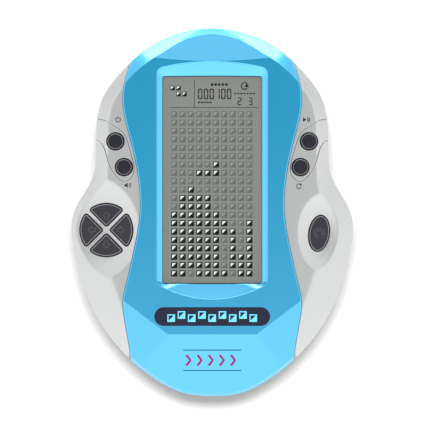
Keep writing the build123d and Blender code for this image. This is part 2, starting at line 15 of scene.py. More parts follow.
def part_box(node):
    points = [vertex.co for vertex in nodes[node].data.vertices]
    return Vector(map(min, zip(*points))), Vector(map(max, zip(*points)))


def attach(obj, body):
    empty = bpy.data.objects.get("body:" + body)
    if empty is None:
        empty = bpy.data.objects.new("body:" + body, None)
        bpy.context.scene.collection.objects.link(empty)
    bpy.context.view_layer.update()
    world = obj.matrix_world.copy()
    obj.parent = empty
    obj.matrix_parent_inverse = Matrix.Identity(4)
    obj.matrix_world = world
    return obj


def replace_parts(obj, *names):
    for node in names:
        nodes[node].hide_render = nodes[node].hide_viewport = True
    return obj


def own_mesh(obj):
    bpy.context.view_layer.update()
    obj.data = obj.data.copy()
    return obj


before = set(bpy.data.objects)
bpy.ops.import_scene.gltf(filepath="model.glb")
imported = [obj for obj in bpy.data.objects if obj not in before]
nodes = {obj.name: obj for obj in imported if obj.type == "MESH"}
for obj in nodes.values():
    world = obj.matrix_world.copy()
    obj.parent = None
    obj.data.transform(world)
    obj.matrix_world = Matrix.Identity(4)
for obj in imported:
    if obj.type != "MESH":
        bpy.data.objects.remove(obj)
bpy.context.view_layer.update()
MM = 0.001


def edge_of(node, axis, end):
    """One side of a CAD node's box, in millimetres."""
    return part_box(node)[end][axis] / MM


# ---- sizes taken from the frame --------------------------------------------------------------
HALF_WIDTH = edge_of("rear_shell", 0, 1)
HALF_LENGTH = edge_of("rear_shell", 1, 1)
SHELL_FOOT = edge_of("front_shell", 2, 0)
LAND = edge_of("front_shell", 2, 1)
PANEL = edge_of("fascia", 2, 1)
FASCIA_FOOT = edge_of("fascia", 2, 0)
LENS_TOP = edge_of("lens", 2, 1)
CELL_TOP = edge_of("lcd_cell", 2, 1)
SIDE = LAND - 3.5
BEVEL_FOOT = SIDE + 1.2

# ---- outlines: shares of half the width and length, then slope and bevel widths --------------
RIM = [
    (0.000, 1.000, 5.0, 2.7), (0.205, 0.979, 5.0, 3.6), (0.388, 0.924, 5.0, 5.4),
    (0.546, 0.840, 5.0, 5.2), (0.690, 0.726, 5.0, 5.0), (0.782, 0.616, 5.0, 5.0),
    (0.818, 0.490, 5.0, 4.0), (0.826, 0.360, 5.0, 4.0), (0.832, 0.240, 5.4, 4.0),
    (0.890, 0.128, 8.5, 4.0), (0.968, 0.027, 12.0, 4.0), (1.000, -0.085, 14.0, 4.0),
    (0.981, -0.195, 14.0, 4.0), (0.934, -0.360, 13.5, 4.0), (0.868, -0.500, 13.0, 3.0),
    (0.760, -0.645, 11.5, 2.0), (0.612, -0.780, 9.0, 1.4), (0.420, -0.900, 7.5, 1.2),
    (0.200, -0.984, 6.5, 1.2), (0.000, -1.000, 6.0, 1.2),
]
FASCIA_SIDE = [
    (0.540, 0.900), (0.604, 0.745), (0.630, 0.640), (0.610, 0.495), (0.565, 0.362), (0.523, 0.200),
    (0.507, 0.020), (0.550, -0.200), (0.608, -0.396), (0.629, -0.475), (0.610, -0.620),
    (0.572, -0.820), (0.560, -0.950),
]
KEY_PLATE_INNER = [
    (0.850, 0.508), (0.773, 0.501), (0.702, 0.471), (0.640, 0.438), (0.603, 0.387), (0.575, 0.316),
    (0.557, 0.256), (0.571, 0.192), (0.625, 0.170), (0.688, 0.208), (0.724, 0.251),
    (0.753, 0.327), (0.781, 0.371), (0.850, 0.404),
]
WINDOW_X = 22.4
WINDOW_TOP = 61.1
WINDOW_BOTTOM = -32.1
PAD = np.array((-0.751 * HALF_WIDTH, -0.097 * HALF_LENGTH))
PAD_RADIUS = 12.15
PAD_BAR = 1.7
PAD_CORNER = 1.2
PAD_DISH = (8.0, 22.5, 24.0, 3.1)
ROTATE = np.array((0.758 * HALF_WIDTH, -0.115 * HALF_LENGTH))
ROTATE_HALVES = (4.8, 8.3)
ROTATE_LEAN = math.radians(-8.0)
ROTATE_DISH = (2.6, 11.9, 17.8, 2.3)
DISH_RISE = 8.0
SMALL_HOLE = 4.05
SMALL_CAP_EDGE = 3.35
SECTOR_CAP_INSET = 0.72
OVAL_CAP_INSET = 0.66
GAP = 0.15
LAND_BLEND = 0.25        # rounding where the slope meets the land
PAD_BLEND = 0.22         # rounding round the direction pad's scoop
ROTATE_BLEND = 0.18
HOLE_MARGIN = 0.4        # a point this close to an opening belongs to its edge
RIM_MARGIN = 0.3         # a point this close to the case outline belongs to the rim
HOLE_WALL_FOOT = SHELL_FOOT + 6.8
PLATE_LIP_FOOT = SIDE - 2.0
PLATE_FOOT = LAND - 2.4
PLATE_HOLE_FOOT = LAND - 4.8
BEZEL_FOOT = PANEL - 0.5
SMALL_KEYS = {
    "power": (-0.685, 0.385), "sound": (-0.625, 0.245),
    "start": (0.685, 0.385), "reset": (0.625, 0.245),
}
KEYS = {name: np.array((x * HALF_WIDTH, y * HALF_LENGTH)) for name, (x, y) in SMALL_KEYS.items()}


# ---- curves ----------------------------------------------------------------------------------
def spline(points, stations, count, closed):
    """Cubic curve through rows of numbers at the given stations, sampled evenly in station."""
    p = np.array(points, float)
    t = np.array(stations, float)
    n = len(p)
    h = np.diff(t)
    a = np.zeros((n, n))
    b = np.zeros((n, p.shape[1]))
    for i in range(n):
        if not closed and i in (0, n - 1):
            a[i, i] = 1.0
            continue
        before, after = (i - 1) % n, (i + 1) % n
        h0, h1 = h[i - 1], h[i % len(h)]
        a[i, before] += h0
        a[i, i] += 2 * (h0 + h1)
        a[i, after] += h1
        b[i] = 6 * ((p[after] - p[i]) / h1 - (p[i] - p[before]) / h0)
    m = np.linalg.solve(a, b)
    s = np.linspace(t[0], t[-1], count, endpoint=not closed)
    i = np.clip(np.searchsorted(t, s, side="right") - 1, 0, len(h) - 1)
    j = (i + 1) % n
    u = ((s - t[i]) / h[i])[:, None]
    v = 1 - u
    hi = h[i][:, None]
    return v * p[i] + u * p[j] + hi * hi / 6 * ((v ** 3 - v) * m[i] + (u ** 3 - u) * m[j])


def through(points, count):
    """Open smooth curve through points."""
    p = np.array(points, float)
    steps = np.hypot(*np.diff(p, axis=0).T)
    return spline(p, np.concatenate(([0.0], np.cumsum(steps))), count, False)


def offset(loop, distances):
    """A closed loop moved to the left of its own direction."""
    p = np.asarray(loop, float)
    a = p - np.roll(p, 1, 0)
    b = np.roll(p, -1, 0) - p
    a /= np.maximum(np.linalg.norm(a, axis=1), 1e-9)[:, None]
    b /= np.maximum(np.linalg.norm(b, axis=1), 1e-9)[:, None]
    left = np.stack((-(a + b)[:, 1], (a + b)[:, 0]), 1)
    size = np.maximum(np.linalg.norm(left, axis=1), 0.6)
    left = left / size[:, None]
    reach = np.broadcast_to(np.asarray(distances, float), (len(p),))
    stretch = 1 / np.maximum(0.6, np.abs(np.sum(left * np.stack((-a[:, 1], a[:, 0]), 1), 1)))
    return p + left * (reach * stretch)[:, None]


def rim_rows():
    """The case outline's rows all round, anticlockwise from the top."""
    left = [(-x, y, w, v) for x, y, w, v in RIM]
    right = list(reversed(RIM[1:-1]))
    return np.array(left + right) * np.array((HALF_WIDTH, HALF_LENGTH, 1, 1))


def case_outline(count):
    """Dense outline with its slope and bevel widths: columns x, y, slope, bevel."""
    rows = rim_rows()
    xy = np.vstack((rows[:, :2], rows[:1, :2]))
    stations = np.concatenate(([0.0], np.cumsum(np.hypot(*np.diff(xy, axis=0).T))))
    curve = spline(rows[:, :2], stations, count, True)
    s = np.linspace(0, stations[-1], count, endpoint=False)
    widths = [np.interp(s, stations, np.append(rows[:, k], rows[0, k])) for k in (2, 3)]
    return np.column_stack((curve, *widths))


OUTLINE = case_outline(520)
FINE = case_outline(2600)


def fascia_lines():
    """The two side lines of the fascia, as one closed region that runs past the case's ends."""
    right = np.array(FASCIA_SIDE) * (HALF_WIDTH, HALF_LENGTH)
    line = through(right, 220)
    beyond = HALF_LENGTH + 5
    side = np.vstack(((line[0][0], beyond), line, (line[-1][0], -beyond)))
    mirror = side[::-1] * (-1, 1)
    return np.vstack((side[::-1], mirror[::-1]))


def key_plate_region(side):
    """Closed region of a key plate, running past the case's side."""
    line = through(np.array(KEY_PLATE_INNER) * (HALF_WIDTH, HALF_LENGTH), 110)
    beyond = HALF_WIDTH + 5
    region = np.vstack((line, (beyond, line[-1][1]), (beyond, line[0][1])))
    return region if side > 0 else region[::-1] * (-1, 1)


def circle(centre, radius, count):
    """Round loop."""
    turns = np.linspace(0, 2 * math.pi, count, endpoint=False)
    return np.column_stack((np.cos(turns), np.sin(turns))) * radius + centre


def oval(centre, halves, lean, count):
    """Leaning ellipse."""
    turns = np.linspace(0, 2 * math.pi, count, endpoint=False)
    x, y = halves[0] * np.cos(turns), halves[1] * np.sin(turns)
    c, s = math.cos(lean), math.sin(lean)
    return np.column_stack((c * x - s * y, s * x + c * y)) + centre


def pad_sector(turn):
    """Quarter opening of one direction key, with rounded corners."""
    tip = PAD_BAR / 2 * math.sqrt(2)
    inner = PAD_RADIUS - PAD_CORNER
    lift = tip + PAD_CORNER * math.sqrt(2)
    low = math.asin(min(1.0, lift / math.sqrt(2) / inner)) + math.pi / 4
    points = []
    right = np.array((inner * math.cos(low), inner * math.sin(low)))
    left = right * (-1, 1)
    corner_spots = [((0.0, lift), -3 * math.pi / 4, -math.pi / 4), (right, -math.pi / 4, low)]
    for (cx, cy), start, end in corner_spots:
        for a in np.linspace(start, end, 7):
            points.append((cx + PAD_CORNER * math.cos(a), cy + PAD_CORNER * math.sin(a)))
    for a in np.linspace(low, math.pi - low, 26)[1:-1]:
        points.append((PAD_RADIUS * math.cos(a), PAD_RADIUS * math.sin(a)))
    for a in np.linspace(math.pi - low, 5 * math.pi / 4, 7):
        points.append((left[0] + PAD_CORNER * math.cos(a), left[1] + PAD_CORNER * math.sin(a)))
    p = np.array(points)
    c, s = math.cos(turn), math.sin(turn)
    return p @ np.array(((c, s), (-s, c))) + PAD


def bezel_loop(side, top, top_bow, bottom_bow, corner):
    """Screen opening, anticlockwise: straight sides, bowed ends and rounded corners."""
    x = WINDOW_X + side
    y1, y0 = WINDOW_TOP + top, WINDOW_BOTTOM

    def high(u):
        return y1 + top_bow * (1 - (u / x) ** 2)

    def low(u):
        return y0 - bottom_bow * (1 - (u / x) ** 2)

    def bend(a, b, c):
        t = np.linspace(0, 1, 9)[:, None]
        return (1 - t) ** 2 * np.array(a) + 2 * t * (1 - t) * np.array(b) + t * t * np.array(c)

    u = np.linspace(x - corner, corner - x, 40)
    sides = np.linspace(y0 + corner, y1 - corner, 50)
    parts = [
        np.column_stack((np.full(50, x), sides))[:-1],
        bend((x, y1 - corner), (x, y1), (x - corner, high(x - corner)))[:-1],
        np.column_stack((u, high(u)))[:-1],
        bend((corner - x, high(x - corner)), (-x, y1), (-x, y1 - corner))[:-1],
        np.column_stack((np.full(50, -x), sides[::-1]))[:-1],
        bend((-x, y0 + corner), (-x, y0), (corner - x, low(x - corner)))[:-1],
        np.column_stack((-u, low(u)))[:-1],
        bend((x - corner, low(x - corner)), (x, y0), (x, y0 + corner))[:-1],
    ]
    return np.vstack(parts)


# ---- heights ---------------------------------------------------------------------------------
def nearest(points):
    """For each point: its distance in from the case outline, and the two widths there."""
    distance = np.zeros(len(points))
    widths = np.zeros((len(points), 2))
    for start in range(0, len(points), 4000):
        part = points[start:start + 4000]
        gaps = ((part[:, None, :] - FINE[None, :, :2]) ** 2).sum(2)
        best = gaps.argmin(1)
        distance[start:start + 4000] = np.sqrt(gaps[np.arange(len(part)), best])
        widths[start:start + 4000] = FINE[best, 2:]
    return distance, widths


def dish_height(p, centre, dish):
    """Height of a scoop, the bowl of an ellipsoid whose lowest point lies outside the keys."""
    shift, half_x, half_y, depth = dish
    x = (p[:, 0] - centre[0] - math.copysign(shift, centre[0])) / half_x
    y = (p[:, 1] - centre[1]) / half_y
    share = (x * x + y * y) * (1 - (1 - depth / DISH_RISE) ** 2)
    bowl = LAND - depth + DISH_RISE * (1 - np.sqrt(np.maximum(0.0, 1 - share)))
    return np.where(share < 1, bowl, LAND + DISH_RISE)


def soft_min(a, b, blend):
    """The lower of two heights, with their meeting line rounded off."""
    h = np.clip(0.5 + 0.5 * (b - a) / blend, 0, 1)
    return b + (a - b) * h - blend * h * (1 - h)


def wing_height(p):
    """Silver case front: flat land, outer slope and the two scoops."""
    distance, widths = nearest(p)
    slope = SIDE + (LAND - SIDE) * distance / widths[:, 0]
    z = soft_min(slope, np.full(len(p), LAND), LAND_BLEND)
    z = soft_min(z, dish_height(p, PAD, PAD_DISH), PAD_BLEND)
    return soft_min(z, dish_height(p, ROTATE, ROTATE_DISH), ROTATE_BLEND)


FOREHEAD_Y = 0.820 * HALF_LENGTH
CHIN_Y = -0.662 * HALF_LENGTH
CHIN_X = 0.313 * HALF_WIDTH
CHIN_TURN = math.radians(37)
FOREHEAD_FALL = math.tan(math.radians(7.0))
CHIN_FALL = math.tan(math.radians(5.5))
CHIN_SIDE_FALL = math.tan(math.radians(4.4))
FOREHEAD_BOW = 1.5
FOREHEAD_BOW_AT = 25.3


def forehead_line(x):
    """Crease over the screen, bowed down in the middle."""
    return FOREHEAD_Y + FOREHEAD_BOW * (x / FOREHEAD_BOW_AT) ** 2


def fascia_height(p):
    """Blue fascia: flat panel, forehead, chin facets and the bevel at the case's rim."""
    x, y = p[:, 0], p[:, 1]
    base = np.full(len(p), PANEL)
    base = np.minimum(base, PANEL - (y - forehead_line(x)) * FOREHEAD_FALL)
    base = np.minimum(base, PANEL - (CHIN_Y - y) * CHIN_FALL)
    out = (np.abs(x) - CHIN_X) * math.sin(CHIN_TURN) - (y - CHIN_Y) * math.cos(CHIN_TURN)
    base = np.minimum(base, PANEL - out * CHIN_SIDE_FALL)
    distance, widths = nearest(p)
    share = np.clip(distance / widths[:, 1], 0, 1)
    return BEVEL_FOOT + (base - BEVEL_FOOT) * share


# ---- meshes ----------------------------------------------------------------------------------
def inside(points, loops):
    """Even-odd test of points against closed loops."""
    hits = np.zeros(len(points), bool)
    x, y = points[:, 0], points[:, 1]
    for loop in loops:
        q = np.roll(loop, -1, 0)
        for (ax, ay), (bx, by) in zip(loop, q):
            if ay == by:
                continue
            crosses = (ay > y) != (by > y)
            hits ^= crosses & (x < (bx - ax) * (y - ay) / (by - ay) + ax)
    return hits


def triangulate(lines, extra):
    """Triangles over lines kept as edges.

    Returns the points, the triangles, where each input point went, and each edge's lines.
    """
    verts, edges, owners = [], [], []
    for k, (line, closed) in enumerate(lines):
        start = len(verts)
        verts.extend(Vector((float(x), float(y))) for x, y in line)
        n = len(line)
        for i in range(n if closed else n - 1):
            edges.append((start + i, start + (i + 1) % n))
            owners.append(k)
    verts.extend(Vector((float(x), float(y))) for x, y in extra)
    out = delaunay_2d_cdt(verts, edges, [], 0, 1e-5)
    points = np.array([(v.x, v.y) for v in out[0]])
    found = {}
    for i, sources in enumerate(out[3]):
        for s in sources:
            found[s] = i
    kinds = {}
    for pair, sources in zip(out[1], out[4]):
        for s in sources:
            if s < len(owners):
                kinds.setdefault(frozenset(pair), set()).add(owners[s])
    return points, [tuple(f) for f in out[2]], found, kinds


CLOSEST = 0.12           # least distance between a loop's points
LEAST_AREA = 1e-7


def thin(loop):
    """Drops points that lie too close to the one before."""
    kept = [loop[0]]
    for p in loop[1:]:
        if np.hypot(*(p - kept[-1])) > CLOSEST:
            kept.append(p)
    return np.array(kept)


def region_loops(polygons, keep):
    """Boundary loops, region on the left, of what keep() accepts among overlapping polygons."""
    points, faces, _, _ = triangulate([(p, True) for p in polygons], [])
    tri = np.array(faces)
    corners = points[tri]
    area = np.cross(corners[:, 1] - corners[:, 0], corners[:, 2] - corners[:, 0])
    tri = np.where((area < 0)[:, None], tri[:, ::-1], tri)
    kept = tri[keep(points[tri].mean(1)) & (np.abs(area) > LEAST_AREA)]
    directed = {(t[i], t[(i + 1) % 3]) for t in kept.tolist() for i in range(3)}
    rim = {a: b for a, b in directed if (b, a) not in directed}
    loops = []
    while rim:
        start, here = rim.popitem()
        path = [start]
        while here != start:
            path.append(here)
            here = rim.pop(here, start)
        loop = points[path]
        if len(loop) > 5:
            loops.append(thin(loop))
    return loops


def grid_in(loops, spacing, clear):
    """Even points inside loops, kept a little away from the lines given."""
    corner_low = np.min([loop.min(0) for loop in loops], 0)
    corner_high = np.max([loop.max(0) for loop in loops], 0)
    xs = np.arange(corner_low[0], corner_high[0], spacing)
    ys = np.arange(corner_low[1], corner_high[1], spacing * 0.866)
    points = np.array([(x + (j % 2) * spacing / 2, y) for j, y in enumerate(ys) for x in xs])
    points = points[inside(points, loops)]
    lines = np.vstack(clear)
    keep = np.ones(len(points), bool)
    for start in range(0, len(points), 2000):
        part = points[start:start + 2000]
        gaps = ((part[:, None] - lines[None]) ** 2).sum(2).min(1)
        keep[start:start + 2000] = gaps > (spacing * 0.45) ** 2
    return points[keep]


PIECE_CREASE = math.radians(35)
NODE_CREASE = math.radians(30)
RIM_STEPS = (30, 60, 90)     # degrees of a rounded rim's quarter turn


def make_object(name, points, faces, sharp=(), smooth=True):
    """Mesh object from millimetre points."""
    mesh = bpy.data.meshes.new(name)
    mesh.from_pydata((np.array(points) * MM).tolist(), [], faces)
    mesh.validate()
    for polygon in mesh.polygons:
        polygon.use_smooth = smooth
    if smooth:
        mesh.set_sharp_from_angle(angle=PIECE_CREASE)
    if sharp:
        pairs = {frozenset(p) for p in sharp}
        for edge in mesh.edges:
            if frozenset(edge.vertices) in pairs:
                edge.use_edge_sharp = True
    piece = bpy.data.objects.new(name, mesh)
    bpy.context.scene.collection.objects.link(piece)
    return piece


class Shape:
    """Points and faces gathered for one piece."""

    def __init__(self):
        self.points = []
        self.faces = []
        self.sharp = []

    def add(self, points):
        """Takes points in and gives their numbers."""
        start = len(self.points)
        self.points.extend([tuple(map(float, p)) for p in points])
        return list(range(start, start + len(points)))

    def strip(self, low, high, closed=True):
        """Quads between two rows of point numbers."""
        n = len(low)
        for i in range(n if closed else n - 1):
            j = (i + 1) % n
            self.faces.append((low[i], low[j], high[j], high[i]))

    def sheet(self, loops, height, radius, foot, creases=(), sharp_creases=(), spacing=1.5):
        """Surface over a region with rounded rims and walls down to foot(points)."""
        inner = [offset(loop, radius) for loop in loops]
        lines = [(loop, True) for loop in inner]
        lines += [(c, k) for c, k in creases] + [(c, k) for c, k in sharp_creases]
        extra = grid_in(inner, spacing, [line for line, _ in lines])
        points, faces, found, kinds = triangulate(lines, extra)
        tri = np.array(faces)
        corners = points[tri]
        area = np.cross(corners[:, 1] - corners[:, 0], corners[:, 2] - corners[:, 0])
        tri = np.where((area < 0)[:, None], tri[:, ::-1], tri)
        kept = tri[inside(corners.mean(1), inner) & (np.abs(area) > LEAST_AREA)]
        z = height(points)
        ids = self.add(np.column_stack((points, z)))
        self.faces.extend(tuple(ids[i] for i in t) for t in kept.tolist())
        first = len(inner) + len(creases)
        for pair, owners in kinds.items():
            if any(o >= first for o in owners):
                a, b = tuple(pair)
                self.sharp.append((ids[a], ids[b]))
        at = 0
        for loop, top in zip(loops, inner):
            ring = [ids[found[at + i]] for i in range(len(loop))]
            at += len(loop)
            tops = height(top)
            for a in RIM_STEPS:
                line = offset(loop, radius * (1 - math.sin(math.radians(a))))
                drop = radius * (1 - math.cos(math.radians(a)))
                below = self.add(np.column_stack((line, tops - drop)))
                self.strip(ring, below)
                ring = below
            floor = np.minimum(foot(loop), tops - radius)
            self.strip(ring, self.add(np.column_stack((loop, floor))))

    def build(self, name):
        """The gathered faces as one object."""
        return make_object(name, self.points, self.faces, self.sharp)


def flip_outward(piece):
    """Makes a piece's faces agree and look outwards."""
    bpy.context.view_layer.objects.active = piece
    bpy.ops.object.select_all(action="DESELECT")
    piece.select_set(True)
    bpy.ops.object.mode_set(mode="EDIT")
    bpy.ops.mesh.select_all(action="SELECT")
    bpy.ops.mesh.normals_make_consistent(inside=False)
    bpy.ops.object.mode_set(mode="OBJECT")
    return piece


# ---- materials -------------------------------------------------------------------------------
def material(name, color, roughness, metallic=0.0, coat=0.0, coat_roughness=0.1, specular=0.5):
    """Principled material with plain values on its sockets."""
    made = bpy.data.materials.new(name)
    made.use_nodes = True
    shader = made.node_tree.nodes["Principled BSDF"]
    shader.inputs["Base Color"].default_value = (*color, 1)
    shader.inputs["Roughness"].default_value = roughness
    shader.inputs["Metallic"].default_value = metallic
    shader.inputs["Coat Weight"].default_value = coat
    shader.inputs["Coat Roughness"].default_value = coat_roughness
    shader.inputs["Specular IOR Level"].default_value = specular
    return made


GRAIN_DEPTH = 0.00005        # metres


def speckle(made, low, high, scale, bump=0.0):
    """Fine colour variation and a faint surface grain from noise in object space."""
    tree = made.node_tree
    shader = tree.nodes["Principled BSDF"]
    place = tree.nodes.new("ShaderNodeTexCoord")
    noise = tree.nodes.new("ShaderNodeTexNoise")
    noise.inputs["Scale"].default_value = scale
    noise.inputs["Detail"].default_value = 3.0
    tree.links.new(place.outputs["Object"], noise.inputs["Vector"])
    ramp = tree.nodes.new("ShaderNodeValToRGB")
    ramp.color_ramp.elements[0].position = 0.3
    ramp.color_ramp.elements[1].position = 0.7
    ramp.color_ramp.elements[0].color = (*low, 1)
    ramp.color_ramp.elements[1].color = (*high, 1)
    tree.links.new(noise.outputs["Fac"], ramp.inputs["Fac"])
    tree.links.new(ramp.outputs["Color"], shader.inputs["Base Color"])
    if bump:
        grain = tree.nodes.new("ShaderNodeBump")
        grain.inputs["Strength"].default_value = bump
        grain.inputs["Distance"].default_value = GRAIN_DEPTH
        tree.links.new(noise.outputs["Fac"], grain.inputs["Height"])
        tree.links.new(grain.outputs["Normal"], shader.inputs["Normal"])
    return made


def linear(r, g, b):
    """Display colour from 0 to 255 as linear light."""
    return tuple(
        c / 255 / 12.92 if c / 255 <= 0.04045 else ((c / 255 + 0.055) / 1.055) ** 2.4
        for c in (r, g, b)
    )


STUDIO_LIGHT = 1.9       # light that reaches a level surface, against a white one shown at full


def shown(r, g, b):
    """Colour of a matt surface that shows as r, g, b under the studio's light."""
    return tuple(c / STUDIO_LIGHT for c in linear(r, g, b))


def shades(color, spread):
    """A darker and a lighter neighbour of a colour."""
    return tuple(c * (1 - spread) for c in color), tuple(min(1.0, c * (1 + spread)) for c in color)


def painted(name, color, roughness, metallic, coat, spread=0.05, scale=2500.0, bump=0.1):
    """Paint or moulded plastic with a clear coat, fine speckle and grain."""
    made = material(name, color, roughness, metallic, coat, 0.12)
    return speckle(made, *shades(color, spread), scale, bump)


def printed(name, color):
    """Matt ink or matt plastic with little sheen."""
    made = material(name, color, 0.55, specular=0.2)
    return speckle(made, *shades(color, 0.06), 3000.0)


def coated(made, index):
    """Sets how strongly a material's clear coat mirrors the studio."""
    made.node_tree.nodes["Principled BSDF"].inputs["Coat IOR"].default_value = index
    return made


SILVER = painted("silver_paint", (0.47, 0.48, 0.475), 0.26, 0.8, 0.1, 0.03, 2500.0, 0.05)
BLUE = coated(painted("blue_paint", (0.0, 0.43, 0.77), 0.22, 0.85, 1.0, 0.04, 2500.0, 0.05), 2.2)
KEY = coated(painted("key_plastic", (0.006, 0.006, 0.009), 0.5, 0.0, 0.5, 0.15, 4000.0, 0.3), 1.8)
KEY.node_tree.nodes["Principled BSDF"].inputs["Specular IOR Level"].default_value = 0.1
KEY_MARK = coated(painted("key_mark", (0.035, 0.035, 0.042), 0.5, 0.0, 0.5, 0.1, 4000.0, 0.2), 1.6)
# Painted highlight: light grey line along the rounded edge of each key cap.
KEY_EDGE_HIGHLIGHT = painted("key_edge_painted_highlight", shown(126, 126, 132), 0.3, 0.0, 0.5, 0.1, 4000.0, 0.1)
REAR = painted("rear_plastic", (0.44, 0.45, 0.45), 0.45, 0.15, 0.1, 0.03)
BLACK = painted("black_plastic", linear(28, 28, 30), 0.6, 0.0, 0.0, 0.2)
RUBBER = painted("silicone", linear(190, 190, 184), 0.7, 0.0, 0.0, 0.05)
BOARD = painted("board_mask", linear(20, 96, 48), 0.35, 0.0, 0.3, 0.15, 900.0)
STEEL = painted("steel", linear(188, 188, 190), 0.3, 1.0, 0.0, 0.05)
CELL = painted("cell_can", linear(60, 66, 84), 0.35, 0.6, 0.3, 0.06)
LEAD = painted("lead_jacket", linear(170, 30, 28), 0.5, 0.0, 0.0, 0.1)
LCD = printed("lcd_face", shown(121, 121, 118))
LCD_OFF = printed("lcd_unlit", shown(95, 95, 93))
# Painted highlights: light triangles in the upper left corners of unlit and lit cells.
LCD_UNLIT_HIGHLIGHT = printed("lcd_unlit_painted_highlight", shown(132, 132, 129))
LCD_LIT_HIGHLIGHT = printed("lcd_lit_painted_highlight", shown(212, 212, 209))
LCD_ON = printed("lcd_lit", shown(10, 10, 12))
INK = printed("printed_ink", shown(40, 40, 44))
BADGE = printed("badge_ink", shown(30, 32, 50))
BADGE_LIGHT = printed("badge_light", shown(110, 205, 235))
CRIMSON = printed("crimson_ink", shown(135, 40, 85))
TEAL = printed("teal_ink", shown(25, 105, 120))


def lens_material():
    """Clear window: see-through with a plain sheen."""
    made = bpy.data.materials.new("clear_window")
    made.use_nodes = True
    tree = made.node_tree
    tree.nodes.remove(tree.nodes["Principled BSDF"])
    clear = tree.nodes.new("ShaderNodeBsdfTransparent")
    clear.inputs["Color"].default_value = (0.97, 0.98, 0.97, 1)
    gloss = tree.nodes.new("ShaderNodeBsdfGlossy")
    gloss.inputs["Roughness"].default_value = 0.05
    facing = tree.nodes.new("ShaderNodeLayerWeight")
    facing.inputs["Blend"].default_value = 0.035
    mix = tree.nodes.new("ShaderNodeMixShader")
    tree.links.new(facing.outputs["Facing"], mix.inputs["Fac"])
    tree.links.new(clear.outputs["BSDF"], mix.inputs[1])
    tree.links.new(gloss.outputs["BSDF"], mix.inputs[2])
    tree.links.new(mix.outputs["Shader"], tree.nodes["Material Output"].inputs["Surface"])
    return made


LENS = lens_material()


def finish_piece(piece, made, body):
    """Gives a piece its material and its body."""
    piece.data.materials.clear()
    piece.data.materials.append(made)
    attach(piece, body)
    return piece


# ---- case front ------------------------------------------------------------------------------
FASCIA_REGION = fascia_lines()
PLATES = {-1: key_plate_region(-1), 1: key_plate_region(1)}
CASE_LOOP = OUTLINE[:, :2]
RIM_WALL = offset(FINE[:, :2], 0.04)
SLOPE_LINE = offset(CASE_LOOP, OUTLINE[:, 2])
SECTORS = {name: pad_sector(turn) for name, turn in (
    ("up", 0), ("left", math.pi / 2), ("down", math.pi), ("right", -math.pi / 2))}
OVAL = oval(ROTATE, ROTATE_HALVES, ROTATE_LEAN, 72)
HOLES = {name: circle(at, SMALL_HOLE, 56) for name, at in KEYS.items()}
FASCIA_GAP = offset(FASCIA_REGION, -GAP)
PLATE_GAPS = {side: offset(region, -GAP) for side, region in PLATES.items()}


WALL_LAP = 1.0           # how far the lower side wall runs on beside a lapping piece
WALL_STEP = 3            # keeps one point of the fine outline in three
LEDGE = 4.0
LEDGE_DROP = 0.1


def near_openings(p, openings, foot, opening_foot):
    """Wall feet: foot for every point, but opening_foot at the edge of an opening."""
    depth = np.full(len(p), foot)
    for hole in openings:
        near = inside(p, [offset(hole, -HOLE_MARGIN)])
        depth = np.where(near, opening_foot, depth)
    return depth


def wall_under(shape, region, axis, top):
    """Case side below a piece that laps over the rim, with a ledge inwards under that piece."""
    under = RIM_WALL[inside(RIM_WALL, [offset(region, -WALL_LAP)])]
    for sign in (1, -1):
        line = under[np.sign(under[:, axis]) == sign]
        if not len(line):
            continue
        line = line[np.argsort(line[:, 1 - axis])][::WALL_STEP]
        shrink = 1 - LEDGE / np.abs(line[:, [axis]]).max()
        inner = line * np.where(np.arange(2) == axis, shrink, 1)
        a = shape.add(np.column_stack((line, np.full(len(line), SHELL_FOOT))))
        b = shape.add(np.column_stack((line, np.full(len(line), top))))
        c = shape.add(np.column_stack((inner, np.full(len(line), top))))
        shape.strip(a, b, False)
        shape.strip(b, c, False)


def front_case():
    """Silver wings with their key openings, and the case's side all round."""
    shape = Shape()
    openings = [*SECTORS.values(), OVAL]
    polygons = [CASE_LOOP, FASCIA_GAP, *PLATE_GAPS.values(), *openings]

    def keep(p):
        kept = inside(p, [CASE_LOOP]) & ~inside(p, [FASCIA_GAP])
        for hole in [*PLATE_GAPS.values(), *openings]:
            kept &= ~inside(p, [hole])
        return kept

    def foot(p):
        depth = near_openings(p, openings, FASCIA_FOOT - 0.5, HOLE_WALL_FOOT)
        distance, _ = nearest(p)
        return np.where(distance < RIM_MARGIN, SHELL_FOOT, depth)

    loops = region_loops(polygons, keep)
    shape.sheet(loops, wing_height, 0.3, foot, [(SLOPE_LINE, True)], (), 0.85)
    wall_under(shape, FASCIA_GAP, 1, FASCIA_FOOT - LEDGE_DROP)
    for side in (-1, 1):
        wall_under(shape, PLATE_GAPS[side], 0, PLATE_LIP_FOOT - LEDGE_DROP)
    piece = shape.build("case_front")
    return finish_piece(flip_outward(piece), SILVER, "case")


def key_plate(side):
    """Silver inlay round two small keys, wrapping over the case's edge."""
    shape = Shape()
    region = PLATES[side]
    holes = [hole for name, hole in HOLES.items() if side * KEYS[name][0] > 0]
    outer = offset(CASE_LOOP, -0.04)

    def keep(p):
        kept = inside(p, [outer]) & inside(p, [region])
        for hole in holes:
            kept &= ~inside(p, [hole])
        return kept

    def foot(p):
        depth = near_openings(p, holes, PLATE_FOOT, PLATE_HOLE_FOOT)
        distance, _ = nearest(p)
        return np.where(distance < RIM_MARGIN, PLATE_LIP_FOOT, depth)

    loops = region_loops([outer, region, *holes], keep)
    shape.sheet(loops, wing_height, 0.25, foot, [(SLOPE_LINE, True)], (), 0.8)
    name = "left" if side < 0 else "right"
    piece = shape.build(f"plate_{name}")
    finish_piece(flip_outward(piece), SILVER, "case")
    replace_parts(piece, f"key_plate_{name}")


